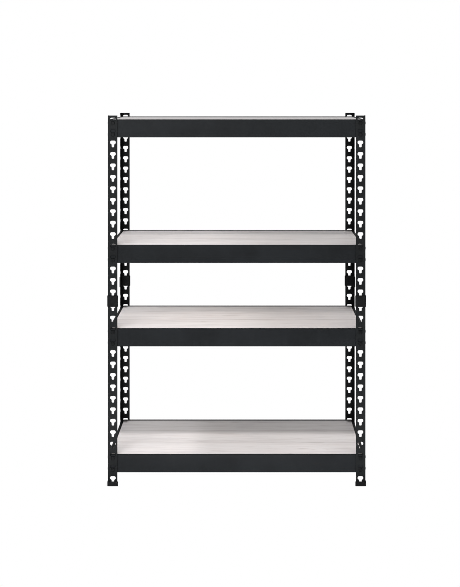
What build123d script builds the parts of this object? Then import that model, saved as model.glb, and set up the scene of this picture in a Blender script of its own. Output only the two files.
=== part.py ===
# Boltless steel shelving, four levels.
#
# Four corner posts, each a steel angle in two halves joined by a plastic
# sleeve and standing on a plastic foot.  Every level is a frame of four rolled
# beams.  Shoulder rivets at the beam ends hang in tapered keyholes in the
# posts, and a board lies inside the frame of beams, just below its rim.
#
# Millimetres.  X is the width, right positive.  Y is the depth: the front is at
# -Y and the back at +Y.  Z is up.  The origin is on the floor, under the middle
# of the unit.

import os
from math import cos, radians, sin

from build123d import *

os.makedirs("parts", exist_ok=True)

# ---------------------------------------------------------------- dimensions
width = 857.0  # over the posts, along X
depth = 406.0  # over the posts, along Y

# posts: equal steel angle with a column of keyholes in each leg
leg = 31.75
sheet = 1.2  # steel thickness of posts and beams
bend = 2.0  # outside radius of a bend
bend_in = bend - sheet
half_length = 609.6  # one half of a post
sole = 2.0  # plastic under the post end
web_gap = 11.0  # plastic between the two halves
lower_z = sole
upper_z = lower_z + half_length + web_gap

# keyholes: a wide mouth that narrows to a tapered slot
pitch = 38.1
holes_per_half = 16
hole_line = 16.9  # centre line, from the post's outer corner
top_margin = 7.5  # from the upper end of a half to the first mouth's top
mouth_half = 9.2  # half widths of the mouth and of the slot's two ends
slot_half_top = 4.2
slot_half_low = 3.9
funnel_start = 8.7  # depths below the mouth's top edge
funnel_end = 12.8
slot_end = 22.0
mouth_corner = 5.0  # corner radii, from the mouth down
funnel_top_corner = 1.6
funnel_low_corner = 1.2
slot_corner = 2.4
rivet_seat = 16.6  # where the tapered slot holds the rivet's shank
rivet_seat_top = 17.8  # the top level has settled deeper in its slots

# rivets
shank_r = 4.0
tenon_r = 2.6
tenon_hole_r = 2.65
head_r = 6.1
head_gap = 0.15  # between the post and the head
head_rise = 1.7
head_edge = 0.5  # straight part of the head's side
head_slope = 1.5  # how far the bevel runs in from the head's side
peen_r = 4.6
peen_rise = 1.3
peen_edge = 0.5
peen_slope = 0.8

# beams: rolled channel with a flat rim, a recess for the board and a ledge
beam_gap = 0.3  # between the post leg and the beam's web
beam_height = 60.0
rim = 8.4
recess = 10.6  # from the rim down to the ledge
ledge = 14.0
ledge_edge_r = 0.5  # where the recess turns into the ledge's free edge
ledge_bend_r = bend_in + 0.7  # under the ledge, at the recess wall
return_flange = 10.0
rivet_below_top = 12.3  # upper rivet of a beam end, below the rim
beam_end = 5.0  # end of the web, from the post's outer face
mitre_gap = 0.35
trim_over_ledge = 2.0  # the trimming outline reaches this far past the ledge
trim_over_height = 1.0  # and this far past the beam, above and below

# boards
board_thick = 9.5
board_gap = 0.6
board_edge = 0.4  # chamfer round the top

# plastic sleeves and feet
fit = 0.1  # clearance round the steel
pocket_inner_r = 1.0  # radius in the inner corner of a pocket
sleeve_wall = 2.0
sleeve_edge = 1.4  # chamfer round both ends
grip_low = 16.0  # sleeve over the end of the lower half
grip_high = 11.0  # and over the end of the upper half
foot_wall = 1.8
foot_edge = 0.7  # chamfer round the top
foot_height = 14.5

half_w = width / 2
half_d = depth / 2
web_line = sheet + beam_gap  # a beam's outer face, in from the post's outer face

# Level: the post half that holds its upper rivets (by its foot height), their
# keyhole counted from the top of that half, and the rivets' depth in the
# keyhole.  The lower rivets use the next keyhole.
levels = {
    1: (upper_z, 0, rivet_seat_top),
    2: (upper_z, 11, rivet_seat),
    3: (lower_z, 2, rivet_seat),
    4: (lower_z, 13, rivet_seat),
}

# Corner: X and Y of the angle's outer corner, and the turn that brings an angle
# with legs along +X and +Y into place.
corners = {
    "front_left": (-half_w, -half_d, 0),
    "front_right": (half_w, -half_d, 90),
    "back_right": (half_w, half_d, 180),
    "back_left": (-half_w, half_d, 270),
}

# Side of a level: X and Y of its middle, the turn that brings a beam running
# along +X with its inside towards +Y into place, and the length over the posts.
sides = {
    "front": (0, -half_d, 0, width),
    "right": (half_w, 0, 90, depth),
    "back": (0, half_d, 180, width),
    "left": (-half_w, 0, 270, depth),
}


def turned_axes(turn):
    """The directions +X and +Y, turned about Z."""
    angle = radians(turn)
    return Vector(cos(angle), sin(angle), 0), Vector(-sin(angle), cos(angle), 0)


def finish(part, name):
    part.label = name
    export_step(part, f"parts/{name}.step")


# ------------------------------------------------------- the keyhole's outline
# Origin at the top edge of the mouth, on the centre line.
with BuildSketch() as keyhole:
    with BuildLine():
        FilletPolyline(
            (slot_half_low, -slot_end),
            (slot_half_top, -funnel_end),
            (mouth_half, -funnel_start),
            (mouth_half, 0),
            (-mouth_half, 0),
            (-mouth_half, -funnel_start),
            (-slot_half_top, -funnel_end),
            (-slot_half_low, -slot_end),
            radius=(
                slot_corner, funnel_low_corner, funnel_top_corner, mouth_corner,
                mouth_corner, funnel_top_corner, funnel_low_corner, slot_corner,
            ),
            close=True,
        )
    make_face()


# ----------------------------------------------------------------- post halves
def angle_outline(grow, outer_r, inner_r):
    """Points and corner radii of the angle's section, grown all round by grow."""
    outer, inner, tip = -grow, sheet + grow, leg + grow
    points = [
        (tip, inner), (inner, inner), (inner, tip),
        (outer, tip), (outer, outer), (tip, outer),
    ]
    return points, (0, inner_r, 0, 0, outer_r, 0)


def build_post_half(corner, base, name):
    corner_x, corner_y, turn = corners[corner]
    first_leg, second_leg = turned_axes(turn)
    origin = (corner_x, corner_y, base)
    mouth_tops = [
        half_length - top_margin - pitch * index for index in range(holes_per_half)
    ]
    with BuildPart() as post:
        with BuildSketch(Plane(origin=origin, x_dir=first_leg, z_dir=(0, 0, 1))):
            with BuildLine():
                points, radii = angle_outline(0, bend, bend_in)
                FilletPolyline(*points, radius=radii, close=True)
            make_face()
        extrude(amount=half_length)
        # keyholes in each leg, cut from its outer face
        for x_dir, outward, line in (
            (first_leg, -second_leg, hole_line),
            (-second_leg, -first_leg, -hole_line),
        ):
            with BuildSketch(Plane(origin=origin, x_dir=x_dir, z_dir=outward)):
                with Locations(*[(line, z) for z in mouth_tops]):
                    add(keyhole.sketch)
            extrude(amount=-2 * sheet, mode=Mode.SUBTRACT)
    finish(post.part, name)


# -------------------------------------------------------- sleeves on the posts
def build_sleeve(corner, wall, low, height, pockets, edge, name):
    """A plastic angle round the post's section, with a pocket for each post end.

    pockets are (start height, depth) pairs.  The top is chamfered, and with
    two pockets the bottom is too."""
    corner_x, corner_y, turn = corners[corner]
    first_leg, _ = turned_axes(turn)
    with BuildPart() as sleeve:
        origin = (corner_x, corner_y, low)
        with BuildSketch(Plane(origin=origin, x_dir=first_leg, z_dir=(0, 0, 1))):
            with BuildLine():
                points, radii = angle_outline(fit + wall, bend + wall, 0)
                FilletPolyline(*points, radius=radii, close=True)
            make_face()
        extrude(amount=height)
        ends = sleeve.faces().filter_by(Axis.Z).sort_by(Axis.Z)
        rims = ends[-1].edges() + (ends[0].edges() if len(pockets) > 1 else [])
        chamfer(rims, edge)
        for start, pocket_depth in pockets:
            origin = (corner_x, corner_y, start)
            with BuildSketch(Plane(origin=origin, x_dir=first_leg, z_dir=(0, 0, 1))):
                with BuildLine():
                    points, radii = angle_outline(fit, bend, pocket_inner_r)
                    FilletPolyline(*points, radius=radii, close=True)
                make_face()
            extrude(amount=pocket_depth, mode=Mode.SUBTRACT)
    finish(sleeve.part, name)


# ----------------------------------------------------------------------- beams
def build_beam(side, top, name):
    mid_x, mid_y, turn, length = sides[side]
    lengthwise, inward = turned_axes(turn)
    origin = (mid_x, mid_y, top)
    half = length / 2
    with BuildPart() as beam:
        # section: x inwards, y up from the rim
        with BuildSketch(Plane(origin=origin, x_dir=inward, z_dir=lengthwise)):
            with Locations((web_line, 0)):
                with BuildLine(mode=Mode.PRIVATE) as outline:
                    FilletPolyline(
                        (rim, -recess),
                        (rim + ledge, -recess),
                        (rim + ledge, -recess - sheet),
                        (rim - sheet, -recess - sheet),
                        (rim - sheet, -sheet),
                        (sheet, -sheet),
                        (sheet, -beam_height + sheet),
                        (return_flange, -beam_height + sheet),
                        (return_flange, -beam_height),
                        (0, -beam_height),
                        (0, 0),
                        (rim, 0),
                        radius=(
                            ledge_edge_r, 0, 0, ledge_bend_r, bend_in, bend_in,
                            bend_in, 0, 0, bend, bend, bend,
                        ),
                        close=True,
                    )
                add(make_face(outline.line.edges(), mode=Mode.PRIVATE))
        extrude(amount=half, both=True)
        # flanges mitred into the corners, web ends short of the posts' corners
        trim_origin = (mid_x, mid_y, top - beam_height - trim_over_height)
        with BuildSketch(Plane(origin=trim_origin, x_dir=lengthwise, z_dir=(0, 0, 1))):
            with BuildLine():
                web_end = half - beam_end
                mitre_start = beam_end - mitre_gap
                reach = web_line + rim + ledge + trim_over_ledge
                mitre_end = half - reach - mitre_gap
                Polyline(
                    (-web_end, 0), (web_end, 0), (web_end, mitre_start),
                    (mitre_end, reach), (-mitre_end, reach), (-web_end, mitre_start),
                    close=True,
                )
            make_face()
        extrude(amount=beam_height + 2 * trim_over_height, mode=Mode.INTERSECT)
        # holes for the rivets' tenons
        with BuildSketch(Plane(origin=origin, x_dir=lengthwise, z_dir=-inward)):
            with Locations(
                *[
                    (end * (half - hole_line), -rivet_below_top - drop)
                    for end in (-1, 1)
                    for drop in (0, pitch)
                ]
            ):
                Circle(tenon_hole_r)
        extrude(amount=-(web_line + 2 * sheet), mode=Mode.SUBTRACT)
    finish(beam.part, name)


# ---------------------------------------------------------------------- rivets
# Half section of a rivet: distance from its axis, then distance along the axis
# outwards from the post's outer face.
shoulder = -web_line
peen_base = shoulder - sheet
head_top = head_gap + head_rise
rivet_profile = [
    (0, peen_base - peen_rise),
    (peen_r - peen_slope, peen_base - peen_rise),
    (peen_r, peen_base - peen_edge),
    (peen_r, peen_base),
    (tenon_r, peen_base),
    (tenon_r, shoulder),
    (shank_r, shoulder),
    (shank_r, head_gap),
    (head_r, head_gap),
    (head_r, head_gap + head_edge),
    (head_r - head_slope, head_top),
    (0, head_top),
]


def build_rivets(top, name):
    """All the rivets of one level: two at each end of each beam."""
    with BuildPart() as rivets:
        for mid_x, mid_y, turn, length in sides.values():
            lengthwise, inward = turned_axes(turn)
            for end in (-1, 1):
                for drop in (0, pitch):
                    centre = (
                        Vector(mid_x, mid_y, top - rivet_below_top - drop)
                        + lengthwise * end * (length / 2 - hole_line)
                    )
                    with BuildSketch(
                        Plane(origin=centre, x_dir=(0, 0, 1), z_dir=lengthwise)
                    ):
                        with BuildLine():
                            Polyline(*rivet_profile, close=True)
                        make_face()
                    revolve(axis=Axis(centre, -inward))
    finish(rivets.part, name)


# ---------------------------------------------------------------------- boards
def build_board(top, name):
    """A board resting on the ledges of its level's beams."""
    inset = web_line + rim + board_gap
    with BuildPart() as board:
        with BuildSketch(Plane.XY.offset(top - recess)):
            Rectangle(width - 2 * inset, depth - 2 * inset)
        extrude(amount=board_thick)
        chamfer(board.faces().sort_by(Axis.Z)[-1].edges(), board_edge)
    finish(board.part, name)


# -------------------------------------------------------------------- assembly
sleeve_low = upper_z - web_gap - grip_low
for corner in corners:
    build_post_half(corner, lower_z, f"{corner}_lower_post")
    build_post_half(corner, upper_z, f"{corner}_upper_post")
    build_sleeve(
        corner,
        wall=sleeve_wall,
        low=sleeve_low,
        height=grip_low + web_gap + grip_high,
        pockets=[(sleeve_low, grip_low), (upper_z, grip_high)],
        edge=sleeve_edge,
        name=f"{corner}_post_connector",
    )
    build_sleeve(
        corner,
        wall=foot_wall,
        low=0.0,
        height=foot_height,
        pockets=[(sole, foot_height - sole)],
        edge=foot_edge,
        name=f"{corner}_foot",
    )

for level, (base, index, seat) in levels.items():
    rivet_z = base + half_length - top_margin - seat - pitch * index
    rim_z = rivet_z + rivet_below_top
    for side in sides:
        build_beam(side, rim_z, f"shelf_{level}_{side}_beam")
    build_rivets(rim_z, f"shelf_{level}_rivets")
    build_board(rim_z, f"shelf_{level}_board")
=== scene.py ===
import bpy, math
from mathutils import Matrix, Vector


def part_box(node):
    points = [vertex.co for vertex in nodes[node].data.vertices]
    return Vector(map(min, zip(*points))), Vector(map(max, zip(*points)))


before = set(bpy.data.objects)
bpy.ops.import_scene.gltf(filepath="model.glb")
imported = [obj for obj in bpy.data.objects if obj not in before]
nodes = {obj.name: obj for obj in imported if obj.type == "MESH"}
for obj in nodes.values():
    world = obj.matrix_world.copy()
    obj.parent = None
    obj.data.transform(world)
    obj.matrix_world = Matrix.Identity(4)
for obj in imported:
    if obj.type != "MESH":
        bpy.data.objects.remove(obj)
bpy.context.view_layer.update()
scene = bpy.context.scene

# ------------------------------------------------------------------ small node helpers


class Tree:
    """Thin wrapper that makes shader nodes and wires them by value or by socket."""

    def __init__(self, name):
        self.mat = bpy.data.materials.new(name)
        self.mat.use_nodes = True
        self.t = self.mat.node_tree
        self.t.nodes.clear()

    def node(self, kind, inputs=None, **props):
        n = self.t.nodes.new(kind)
        for k, v in props.items():
            setattr(n, k, v)
        for k, v in (inputs or {}).items():
            self.put(n.inputs[k], v)
        return n

    def put(self, socket, v):
        if hasattr(v, "is_output"):
            self.t.links.new(v, socket)
        else:
            socket.default_value = v

    def math(self, op, a, b=0.0, c=0.0, clamp=False):
        n = self.t.nodes.new("ShaderNodeMath")
        n.operation = op
        n.use_clamp = clamp
        self.put(n.inputs[0], a)
        self.put(n.inputs[1], b)
        self.put(n.inputs[2], c)
        return n.outputs[0]

    def ramp(self, fac, lo, hi, out_lo=0.0, out_hi=1.0, smooth=True):
        n = self.t.nodes.new("ShaderNodeMapRange")
        n.interpolation_type = "SMOOTHSTEP" if smooth else "LINEAR"
        n.clamp = True
        self.put(n.inputs["Value"], fac)
        self.put(n.inputs["From Min"], lo)
        self.put(n.inputs["From Max"], hi)
        self.put(n.inputs["To Min"], out_lo)
        self.put(n.inputs["To Max"], out_hi)
        return n.outputs["Result"]

    def mix(self, fac, a, b, blend="MIX"):
        n = self.t.nodes.new("ShaderNodeMix")
        n.data_type = "RGBA"
        n.blend_type = blend
        n.clamp_factor = True
        self.put(n.inputs[0], fac)
        self.put(n.inputs[6], a)
        self.put(n.inputs[7], b)
        return n.outputs[2]

    def coord(self, scale=(1, 1, 1), shift=(0, 0, 0)):
        tc = self.t.nodes.new("ShaderNodeTexCoord")
        mp = self.t.nodes.new("ShaderNodeMapping")
        mp.inputs["Scale"].default_value = scale
        mp.inputs["Location"].default_value = shift
        self.t.links.new(tc.outputs["Object"], mp.inputs["Vector"])
        return mp.outputs["Vector"]

    def noise(self, vector, scale, detail=4.0, rough=0.55, distort=0.0):
        n = self.t.nodes.new("ShaderNodeTexNoise")
        self.t.links.new(vector, n.inputs["Vector"])
        n.inputs["Scale"].default_value = scale
        n.inputs["Detail"].default_value = detail
        n.inputs["Roughness"].default_value = rough
        n.inputs["Distortion"].default_value = distort
        return n.outputs["Fac"]

    def edge_mask(self, radius, lo=0.02, hi=0.35):
        """1 on convex and concave edges, from how far a rounded normal leaves the flat one."""
        bev = self.t.nodes.new("ShaderNodeBevel")
        bev.samples = 6
        bev.inputs["Radius"].default_value = radius
        geo = self.t.nodes.new("ShaderNodeNewGeometry")
        dot = self.t.nodes.new("ShaderNodeVectorMath")
        dot.operation = "DOT_PRODUCT"
        self.t.links.new(bev.outputs[0], dot.inputs[0])
        self.t.links.new(geo.outputs["True Normal"], dot.inputs[1])
        off = self.math("SUBTRACT", 1.0, dot.outputs["Value"])
        return self.ramp(off, lo, hi)

    def occlusion(self, distance, power):
        """1 on open faces, falling towards 0 inside corners and folds."""
        ao = self.t.nodes.new("ShaderNodeAmbientOcclusion")
        ao.samples = 8
        ao.inputs["Distance"].default_value = distance
        return self.math("POWER", ao.outputs["AO"], power)

    def bump(self, height, strength, distance, normal=None):
        n = self.t.nodes.new("ShaderNodeBump")
        n.inputs["Strength"].default_value = strength
        n.inputs["Distance"].default_value = distance
        self.put(n.inputs["Height"], height)
        if normal is not None:
            self.t.links.new(normal, n.inputs["Normal"])
        return n.outputs["Normal"]

    def surface(self, **inputs):
        p = self.t.nodes.new("ShaderNodeBsdfPrincipled")
        for k, v in inputs.items():
            self.put(p.inputs[k.replace("_", " ")], v)
        out = self.t.nodes.new("ShaderNodeOutputMaterial")
        self.t.links.new(p.outputs[0], out.inputs[0])
        return p


# ------------------------------------------------------------------ powder-coated steel


def powder_coat(name, base, light, rough=0.46, spec=0.22, wear=0.25):
    t = Tree(name)
    v = t.coord()
    cloud = t.noise(v, 7.0, 3.0, 0.5)  # uneven film thickness, tens of centimetres
    mottle = t.noise(v, 60.0, 4.0, 0.6)
    grit = t.noise(v, 900.0, 2.0, 0.7)  # orange peel
    fine = t.noise(v, 2600.0, 1.0, 0.5)
    # faint drawn streaks and handling smudges
    streak = t.noise(t.coord((1.0, 1.0, 0.18)), 45.0, 3.0, 0.6)
    col = t.mix(t.ramp(cloud, 0.35, 0.68), base, light)
    col = t.mix(t.ramp(mottle, 0.45, 0.8, 0.0, 0.35), col, (light[0] * 1.25, light[1] * 1.25, light[2] * 1.27, 1))
    dust = t.ramp(streak, 0.52, 0.85, 0.0, 0.10)
    col = t.mix(dust, col, (0.022, 0.022, 0.0216, 1))
    edge = t.edge_mask(0.0009, 0.04, 0.5)
    chips = t.ramp(t.noise(v, 230.0, 4.0, 0.7), 0.50, 0.66)
    worn = t.math("MULTIPLY", t.math("MULTIPLY", edge, chips), wear)
    col = t.mix(worn, col, (0.10, 0.10, 0.105, 1))
    r = t.math("ADD", t.ramp(mottle, 0.3, 0.75, rough - 0.06, rough + 0.08), t.math("MULTIPLY", dust, 0.5), clamp=True)
    r = t.math("SUBTRACT", r, t.math("MULTIPLY", worn, 0.15))
    h = t.math("ADD", t.math("MULTIPLY", grit, 1.0), t.math("MULTIPLY", fine, 0.35))
    n = t.bump(h, 0.22, 0.00025)
    # painted shade: ambient occlusion takes colour and specular level down to near black inside corners and folds, such
    # as the inner faces of the post legs
    painted_ao = t.occlusion(0.05, 2.2)
    col = t.mix(painted_ao, (0.0022, 0.0022, 0.0024, 1), col)
    t.surface(Base_Color=col, Roughness=r, Specular_IOR_Level=t.math("MULTIPLY", painted_ao, spec), Normal=n)
    return t.mat


def moulded_plastic(name):
    t = Tree(name)
    v = t.coord()
    grain = t.noise(v, 1400.0, 3.0, 0.6)
    cloud = t.noise(v, 35.0, 3.0, 0.55)
    flow = t.noise(t.coord((1, 1, 0.3)), 120.0, 2.0, 0.5)
    col = t.mix(t.ramp(cloud, 0.35, 0.7), (0.0026, 0.0027, 0.0030, 1), (0.0042, 0.0045, 0.0049, 1))
    edge = t.edge_mask(0.0007, 0.04, 0.5)
    scuff = t.math("MULTIPLY", edge, t.ramp(t.noise(v, 160.0, 3.0, 0.6), 0.48, 0.66, 0.0, 0.5))
    col = t.mix(scuff, col, (0.03, 0.03, 0.031, 1))
    r = t.ramp(flow, 0.3, 0.7, 0.42, 0.58)
    n = t.bump(grain, 0.18, 0.0002)
    t.surface(Base_Color=col, Roughness=r, Specular_IOR_Level=0.06, Normal=n)
    return t.mat


def coated_rivet(name):
    t = Tree(name)
    v = t.coord()
    grit = t.noise(v, 1500.0, 3.0, 0.6)
    cloud = t.noise(v, 140.0, 3.0, 0.55)
    col = t.mix(t.ramp(cloud, 0.35, 0.7), (0.0030, 0.0033, 0.0036, 1), (0.0046, 0.0050, 0.0054, 1))
    edge = t.edge_mask(0.0006, 0.04, 0.5)
    worn = t.math("MULTIPLY", edge, t.ramp(t.noise(v, 400.0, 3.0, 0.6), 0.50, 0.66, 0.0, 0.35))
    col = t.mix(worn, col, (0.10, 0.10, 0.105, 1))
    t.surface(Base_Color=col, Roughness=t.ramp(cloud, 0.3, 0.7, 0.30, 0.46), Metallic=t.math("MULTIPLY", worn, 0.8),
              Specular_IOR_Level=0.06, Normal=t.bump(grit, 0.12, 0.0002))
    return t.mat


# ------------------------------------------------------------------ white-washed wood laminate

PLANK = 0.3850 / 3  # three printed planks across the board's depth
HALF_X, HALF_Y = 0.418, 0.1925

# tones of each board: overall level (painted light: it makes the same laminate lighter or darker board by board, as
# light reaches it), tones of the front and middle plank, tone of the back plank at its left and right end, where the
# soft change from back to middle plank lies (before and behind the seam), and the tone of the sheet's right part, with
# the stretch of X over which it sets in, and of its far right end;
# then the width of the painted contact shade along the back rim, front where the front seam lies, seams how strong the
# front and the back seam show, stain how dirty the front one is
PRINTS = {
    1: dict(level=0.69, planks=(1.0, 0.97), back=(0.80, 0.72), soft=(0.030, 0.004), right=1.0, over=(-0.10, -0.04), far=1.0, rim_shade=0.006,
            front=-0.064, seams=(1.0, 1.0), stain=0.0),
    2: dict(level=0.94, planks=(1.0, 1.01), back=(0.77, 0.69), soft=(0.008, 0.054), right=0.80, over=(-0.12, 0.15), far=0.93, rim_shade=0.0075,
            front=-0.037, seams=(1.0, 0.25), stain=0.0),
    3: dict(level=0.98, planks=(1.02, 1.03), back=(0.90, 0.83), soft=(0.006, 0.050), right=0.82, over=(-0.07, 0.16), far=0.97, rim_shade=0.012,
            front=-0.048, seams=(0.75, 0.3), stain=0.0),
    4: dict(level=1.0, planks=(0.97, 0.98), back=(0.575, 0.475), soft=(0.052, 0.004), right=0.81, over=(-0.185, -0.075), far=1.09, rim_shade=0.0075,
            front=-0.066, seams=(0.5, 0.8), stain=0.65),
}


def laminate(name, z_top, level, planks, back, soft, right, over, far, rim_shade, front, seams, stain):
    """Printed wood grain running along X. The plank tones change across Y; every board has its own print position."""
    t = Tree(name)
    tc = t.t.nodes.new("ShaderNodeTexCoord")
    sep = t.t.nodes.new("ShaderNodeSeparateXYZ")
    t.t.links.new(tc.outputs["Object"], sep.inputs[0])
    x, y, z = sep.outputs[0], sep.outputs[1], sep.outputs[2]
    # plank number 0 (front), 1, 2 (back)
    idx = t.math("ADD", t.math("GREATER_THAN", y, front), t.math("GREATER_THAN", y, HALF_Y - PLANK))
    seed = t.math("ADD", t.math("MULTIPLY", idx, 7.31), z_top * 13.7)

    def field(sx, sy, off=0.0):
        c = t.t.nodes.new("ShaderNodeCombineXYZ")
        t.put(c.inputs[0], t.math("ADD", t.math("MULTIPLY", x, sx), t.math("MULTIPLY", seed, 1.7)))
        t.put(c.inputs[1], t.math("ADD", t.math("MULTIPLY", y, sy), off))
        t.put(c.inputs[2], seed)
        return c.outputs[0]

    wander = t.noise(field(1.6, 5.0), 1.0, 3.0, 0.55)
    wide = t.noise(field(2.4, 16.0, 3.1), 1.0, 4.0, 0.6, 0.4)  # broad light and dark bands
    grain = t.noise(field(7.0, 150.0, 1.7), 1.0, 5.0, 0.62, 0.6)
    pores = t.noise(field(26.0, 620.0, 9.0), 1.0, 3.0, 0.6)
    blotch = t.noise(field(6.5, 9.0, 5.5), 1.0, 3.0, 0.6)
    # cathedral figure: rings cut by a plane, bent by the wandering field
    ring_in = t.math("ADD", t.math("MULTIPLY", y, 42.0), t.math("MULTIPLY", wander, 9.0))
    ring = t.math("ABSOLUTE", t.math("SINE", ring_in))
    ring = t.math("POWER", t.math("SUBTRACT", 1.0, ring), 3.0)

    def toned(fac, col, tint):
        return t.mix(fac, col, t.mix(1.0, col, (tint[0], tint[1], tint[2], 1), "MULTIPLY"))

    # painted light: the overall level makes this board's laminate lighter or darker to stand in for how much light
    # reaches it, the top board darkest
    col = t.mix(0.0, (0.886 * level, 0.855 * level, 0.860 * level, 1), (1, 1, 1, 1))
    col = toned(t.math("COMPARE", idx, 0.0, 0.1), col, (planks[0],) * 3)
    col = toned(t.math("COMPARE", idx, 1.0, 0.1), col, (planks[1],) * 3)
    # back plank: greyer and darker, with a soft front border that wanders a little
    edge_y = t.math("ADD", HALF_Y - PLANK, t.math("MULTIPLY", t.math("SUBTRACT", wander, 0.5), 0.012))
    in_back = t.ramp(y, t.math("SUBTRACT", edge_y, soft[0]), t.math("ADD", edge_y, soft[1]))
    side = t.ramp(x, -HALF_X * 0.9, HALF_X * 0.1)
    tone = t.math("ADD", back[0], t.math("MULTIPLY", side, back[1] - back[0]))
    grey = t.t.nodes.new("ShaderNodeCombineColor")
    t.put(grey.inputs[0], tone)
    t.put(grey.inputs[1], t.math("MULTIPLY", tone, 1.005))
    t.put(grey.inputs[2], t.math("MULTIPLY", tone, 1.012))
    col = t.mix(in_back, col, t.mix(1.0, col, grey.outputs[0], "MULTIPLY"))
    # the right part of the sheet is a little darker
    col = toned(t.ramp(t.math("ADD", x, t.math("MULTIPLY", wander, 0.02)), over[0] + 0.01, over[1] + 0.01), col, (right, right, right))
    col = toned(t.ramp(x, 0.06, 0.30), col, (far, far, far))
    # long soft streaks of figure, darker and a little wavy
    figure = t.noise(field(4.2, 46.0, 2.3), 1.0, 3.0, 0.55, 0.9)
    livelier = t.math("ADD", 1.0, t.math("MULTIPLY", in_back, 0.7))
    dark_figure = t.math("MULTIPLY", t.ramp(figure, 0.50, 0.70, 0.0, 0.60), livelier)
    col = toned(dark_figure, col, (0.85, 0.84, 0.84))
    col = toned(t.math("MULTIPLY", t.ramp(figure, 0.50, 0.30, 0.0, 0.55), livelier), col, (1.06, 1.06, 1.06))
    # a few short dark flecks, like filled cracks and small knots
    fleck = t.noise(field(8.5, 64.0, 4.4), 1.0, 2.0, 0.5, 0.8)
    col = toned(t.ramp(fleck, 0.64, 0.74, 0.0, 0.75), col, (0.76, 0.74, 0.73))
    col = toned(t.ramp(wide, 0.38, 0.68, 0.0, 0.45), col, (0.86, 0.85, 0.85))
    col = toned(t.ramp(blotch, 0.5, 0.8, 0.0, 0.35), col, (1.0, 0.95, 0.93))
    col = toned(t.ramp(grain, 0.50, 0.74, 0.0, 0.5), col, (0.80, 0.775, 0.76))
    col = toned(t.math("MULTIPLY", ring, 0.22), col, (0.80, 0.765, 0.75))
    col = toned(t.ramp(pores, 0.56, 0.78, 0.0, 0.45), col, (0.72, 0.69, 0.67))
    # printed seam between planks: a soft shade with a fine line in it
    from_front = t.math("ABSOLUTE", t.math("SUBTRACT", y, front))
    from_back = t.math("ABSOLUTE", t.math("SUBTRACT", y, HALF_Y - PLANK))
    seam = t.math("MINIMUM", from_front, from_back)
    clear = t.math("ADD", seams[1], t.math("MULTIPLY", t.math("LESS_THAN", from_front, from_back), seams[0] - seams[1]))
    away = t.ramp(t.math("ABSOLUTE", y), HALF_Y - 0.012, HALF_Y - 0.006, 1.0, 0.0)
    shade = t.math("MULTIPLY", t.math("MULTIPLY", t.ramp(seam, 0.001, 0.011, 1.0, 0.0), away), clear)
    col = toned(t.math("MULTIPLY", shade, t.ramp(grain, 0.3, 0.7, 0.45, 0.95)), col, (0.89, 0.87, 0.86))
    broken = t.ramp(t.noise(field(5.2, 0.0, 8.8), 1.0, 2.0, 0.5), 0.42, 0.60, 0.15, 1.0)
    line = t.math("MULTIPLY", t.ramp(seam, 0.0008, 0.0034, 1.0, 0.0), away)
    col = toned(t.math("MULTIPLY", t.math("MULTIPLY", line, broken), clear), col, (0.66, 0.63, 0.62))
    # a patchy stained band along the front seam
    patch = t.ramp(t.noise(field(7.5, 30.0, 6.6), 1.0, 3.0, 0.6, 0.6), 0.36, 0.60, 0.35, 1.0)
    band = t.math("MULTIPLY", t.ramp(t.math("ABSOLUTE", t.math("SUBTRACT", y, front + 0.006)), 0.004, 0.026, 1.0, 0.0), patch)
    col = toned(t.math("MULTIPLY", band, stain), col, (0.86, 0.855, 0.855))
    # painted shade in the four corners, where the posts shadow the board behind them
    deep_x = t.ramp(t.math("ABSOLUTE", x), 0.398, 0.407)
    deep_y = t.ramp(t.math("ABSOLUTE", y), 0.160, 0.175)
    post_shade = t.math("MULTIPLY", t.math("MULTIPLY", deep_x, deep_y), t.ramp(wander, 0.2, 0.6, 0.8, 1.0))
    col = toned(post_shade, col, (0.34, 0.34, 0.34))
    # and painted shade: a dark contact line where the board meets the rims, widest along the back
    line = t.ramp(y, HALF_Y - rim_shade, HALF_Y - rim_shade * 0.55)
    line = t.math("MAXIMUM", line, t.ramp(y, -HALF_Y + 0.0025, -HALF_Y + 0.0010))
    line = t.math("MAXIMUM", line, t.ramp(t.math("ABSOLUTE", x), HALF_X - 0.0016, HALF_X - 0.0006))
    col = toned(t.math("MULTIPLY", line, t.ramp(blotch, 0.2, 0.7, 1.0, 0.8)), col, (0.22, 0.22, 0.225))
    # sawn sides and the underside are bare board
    geo = t.t.nodes.new("ShaderNodeNewGeometry")
    nsep = t.t.nodes.new("ShaderNodeSeparateXYZ")
    t.t.links.new(geo.outputs["True Normal"], nsep.inputs[0])
    top = t.ramp(nsep.outputs[2], 0.3, 0.6)
    fibre = t.noise(t.coord(), 700.0, 4.0, 0.7)
    chip = t.noise(t.coord((1, 1, 1)), 190.0, 4.0, 0.65)
    bare = t.mix(t.ramp(fibre, 0.3, 0.7), (0.33, 0.24, 0.16, 1), (0.47, 0.36, 0.25, 1))
    bare = t.mix(t.ramp(chip, 0.52, 0.72, 0.0, 0.6), bare, (0.24, 0.165, 0.105, 1))
    col = t.mix(top, bare, col)
    rough = t.math("ADD", t.ramp(grain, 0.4, 0.75, 0.50, 0.62), t.ramp(blotch, 0.4, 0.8, -0.04, 0.05))
    rough = t.math("ADD", rough, t.math("MULTIPLY", t.math("SUBTRACT", 1.0, top), 0.25), clamp=True)
    h = t.math("ADD", t.math("MULTIPLY", grain, -0.5), t.math("MULTIPLY", pores, -0.35))
    n = t.bump(h, 0.25, 0.0003)
    t.surface(Base_Color=col, Roughness=rough, Specular_IOR_Level=0.3, Normal=n)
    return t.mat


post_paint = powder_coat("post_powder_coat", (0.0032, 0.0037, 0.0041, 1), (0.0050, 0.0058, 0.0063, 1), rough=0.50, spec=0.075)
beam_paint = powder_coat("beam_powder_coat", (0.0034, 0.0041, 0.0049, 1), (0.0052, 0.0062, 0.0073, 1), rough=0.50, spec=0.080)
plastic = moulded_plastic("moulded_black_plastic")
rivet_paint = coated_rivet("coated_rivet_steel")

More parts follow.
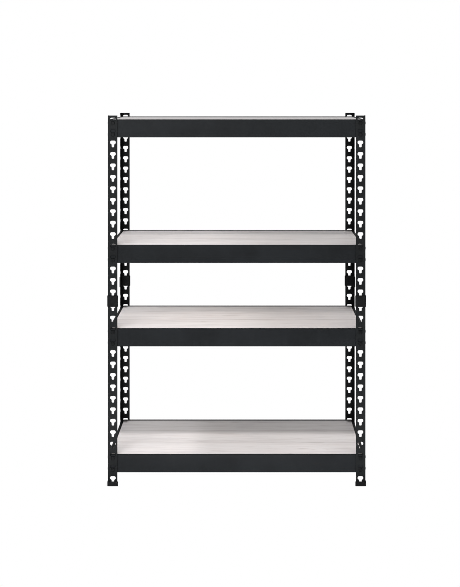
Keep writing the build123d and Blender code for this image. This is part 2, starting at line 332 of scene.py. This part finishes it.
for name, o in nodes.items():
    if name.endswith("_post"):
        m, s = post_paint, "post_steel"
    elif name.endswith("_connector") or name.endswith("_foot"):
        m, s = plastic, "black_plastic"
    elif name.endswith("_beam"):
        m, s = beam_paint, "beam_steel"
    elif name.endswith("_rivets"):
        m, s = rivet_paint, "rivet_steel"
    else:
        lo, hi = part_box(name)
        m, s = laminate(f"laminate_{name}", round(hi.z, 4), **PRINTS[int(name.split("_")[1])]), "board_laminate"
    o.data.materials.clear()
    o.data.materials.append(m)

# ------------------------------------------------------------------ floor, sky and lights

bpy.ops.mesh.primitive_plane_add(size=60, location=(0, 0, 0))
floor = bpy.context.object
floor.name = "studio_floor"
t = Tree("studio_floor_white")
soft = t.noise(t.coord(), 1.5, 2.0, 0.5)
col = t.mix(t.ramp(soft, 0.3, 0.7), (0.86, 0.86, 0.86, 1), (0.88, 0.88, 0.88, 1))
paper = t.surface(Base_Color=col, Roughness=0.9, Specular_IOR_Level=0.0)
# the camera sees evenly lit white paper with a trace of contact shadow, everything else sees the matt floor
touch = t.occlusion(0.018, 1.0)
glow = t.node("ShaderNodeEmission", {"Color": (1, 1, 1, 1), "Strength": t.ramp(touch, 0.2, 0.9, 0.80, 1.0)})
path = t.node("ShaderNodeLightPath")
both = t.node("ShaderNodeMixShader", {0: path.outputs["Is Camera Ray"]})
t.t.links.new(paper.outputs[0], both.inputs[1])
t.t.links.new(glow.outputs[0], both.inputs[2])
sink = next(n for n in t.t.nodes if n.type == "OUTPUT_MATERIAL")
t.t.links.new(both.outputs[0], sink.inputs[0])
floor.data.materials.append(t.mat)

ROOM_DIM, ROOM_BRIGHT = 0.20, 2.15

world = bpy.data.worlds.new("studio")
scene.world = world
world.use_nodes = True
w = world.node_tree
w.nodes.clear()
bg_seen = w.nodes.new("ShaderNodeBackground")
bg_seen.inputs["Color"].default_value = (1, 1, 1, 1)
bg_seen.inputs["Strength"].default_value = 1.0
bg_light = w.nodes.new("ShaderNodeBackground")
bg_light.inputs["Color"].default_value = (1, 1, 1, 1)
# the room is bright in front and to the left, dim behind the object and at the ceiling
BRIGHT = Vector((-0.44, -0.89, 0.06)).normalized()
room = w.nodes.new("ShaderNodeTexCoord")
facing = w.nodes.new("ShaderNodeVectorMath")
facing.operation = "DOT_PRODUCT"
w.links.new(room.outputs["Generated"], facing.inputs[0])
facing.inputs[1].default_value = BRIGHT
level = w.nodes.new("ShaderNodeMapRange")
w.links.new(facing.outputs["Value"], level.inputs["Value"])
level.inputs["From Min"].default_value = -0.90
level.inputs["From Max"].default_value = 0.95
level.inputs["To Min"].default_value = ROOM_DIM
level.inputs["To Max"].default_value = ROOM_BRIGHT
split = w.nodes.new("ShaderNodeSeparateXYZ")
w.links.new(room.outputs["Generated"], split.inputs[0])
ceiling = w.nodes.new("ShaderNodeMapRange")
ceiling.interpolation_type = "SMOOTHSTEP"
w.links.new(split.outputs[2], ceiling.inputs["Value"])
ceiling.inputs["From Min"].default_value = 0.30
ceiling.inputs["From Max"].default_value = 0.90
ceiling.inputs["To Min"].default_value = 1.0
ceiling.inputs["To Max"].default_value = 0.25
shade = w.nodes.new("ShaderNodeMath")
shade.operation = "MULTIPLY"
w.links.new(level.outputs["Result"], shade.inputs[0])
w.links.new(ceiling.outputs["Result"], shade.inputs[1])
w.links.new(shade.outputs[0], bg_light.inputs["Strength"])
lp = w.nodes.new("ShaderNodeLightPath")
mx = w.nodes.new("ShaderNodeMixShader")
out = w.nodes.new("ShaderNodeOutputWorld")
w.links.new(lp.outputs["Is Camera Ray"], mx.inputs[0])
w.links.new(bg_light.outputs[0], mx.inputs[1])
w.links.new(bg_seen.outputs[0], mx.inputs[2])
w.links.new(mx.outputs[0], out.inputs[0])


def softbox(name, loc, target, size, power, color=(1, 1, 1)):
    d = bpy.data.lights.new(name, "AREA")
    d.shape = "RECTANGLE"
    d.size, d.size_y = size
    d.energy = power
    d.color = color
    o = bpy.data.objects.new(name, d)
    scene.collection.objects.link(o)
    o.location = loc
    o.rotation_mode = "QUATERNION"
    o.rotation_quaternion = (Vector(target) - Vector(loc)).to_track_quat("-Z", "Y")
    o.visible_camera = False
    return o


softbox("key_left", (-0.9, -2.9, 2.0), (0, 0, 0.55), (2.4, 1.8), 102)
softbox("fill_right", (2.9, -2.9, 1.3), (0, 0, 0.6), (2.0, 2.0), 7)
softbox("bounce_card", (-0.1, -0.60, 0.02), (-0.1, -0.25, 0.30), (1.2, 0.30), 6.2)
softbox("top", (0, -0.6, 3.4), (0, 0, 1.2), (2.6, 1.8), 6)
softbox("back_fill", (0.0, 3.2, 2.0), (0, 0, 0.8), (2.4, 1.6), 7)

# ------------------------------------------------------------------ camera

CAM = (0.02785, -4.004, 1.324)
F_PX, U0, V0 = 1143.0, 245.04, 87.88
W_PX, H_PX = 460.0, 587.0
cam_data = bpy.data.cameras.new("camera")
cam = bpy.data.objects.new("camera", cam_data)
scene.collection.objects.link(cam)
cam.location = CAM
cam.rotation_euler = (math.radians(90), 0, 0)
cam_data.sensor_fit = "AUTO"
cam_data.sensor_width = 36.0
cam_data.lens = F_PX * 36.0 / H_PX
cam_data.clip_start, cam_data.clip_end = 0.05, 100.0
scene.camera = cam


def shift_only_here(prop, value):
    """The picture's lens shift belongs to this one camera position. A driver without any script gives the shift while
    the camera stands at this X and none when it is moved round the object, so every other view stays centred."""
    curve = cam_data.driver_add(prop)
    drv = curve.driver
    drv.type = "AVERAGE"
    var = drv.variables.new()
    var.name = "place"
    var.type = "TRANSFORMS"
    var.targets[0].id = cam
    var.targets[0].transform_type = "LOC_X"
    var.targets[0].transform_space = "WORLD_SPACE"
    for m in list(curve.modifiers):
        curve.modifiers.remove(m)
    x = CAM[0]
    for at, v in ((x - 100.0, 0.0), (x - 0.0115, value), (x + 0.0115, 0.0), (x + 100.0, 0.0)):
        k = curve.keyframe_points.insert(at, v, options={"FAST"})
        k.interpolation = "CONSTANT"
    curve.update()


shift_only_here("shift_x", (W_PX / 2 - U0) / H_PX)
shift_only_here("shift_y", (V0 - H_PX / 2) / H_PX)

scene.cycles.filter_width = 0.8
scene.view_settings.view_transform = "Standard"
scene.view_settings.look = "None"
scene.view_settings.exposure = 0.0
scene.view_settings.gamma = 1.0
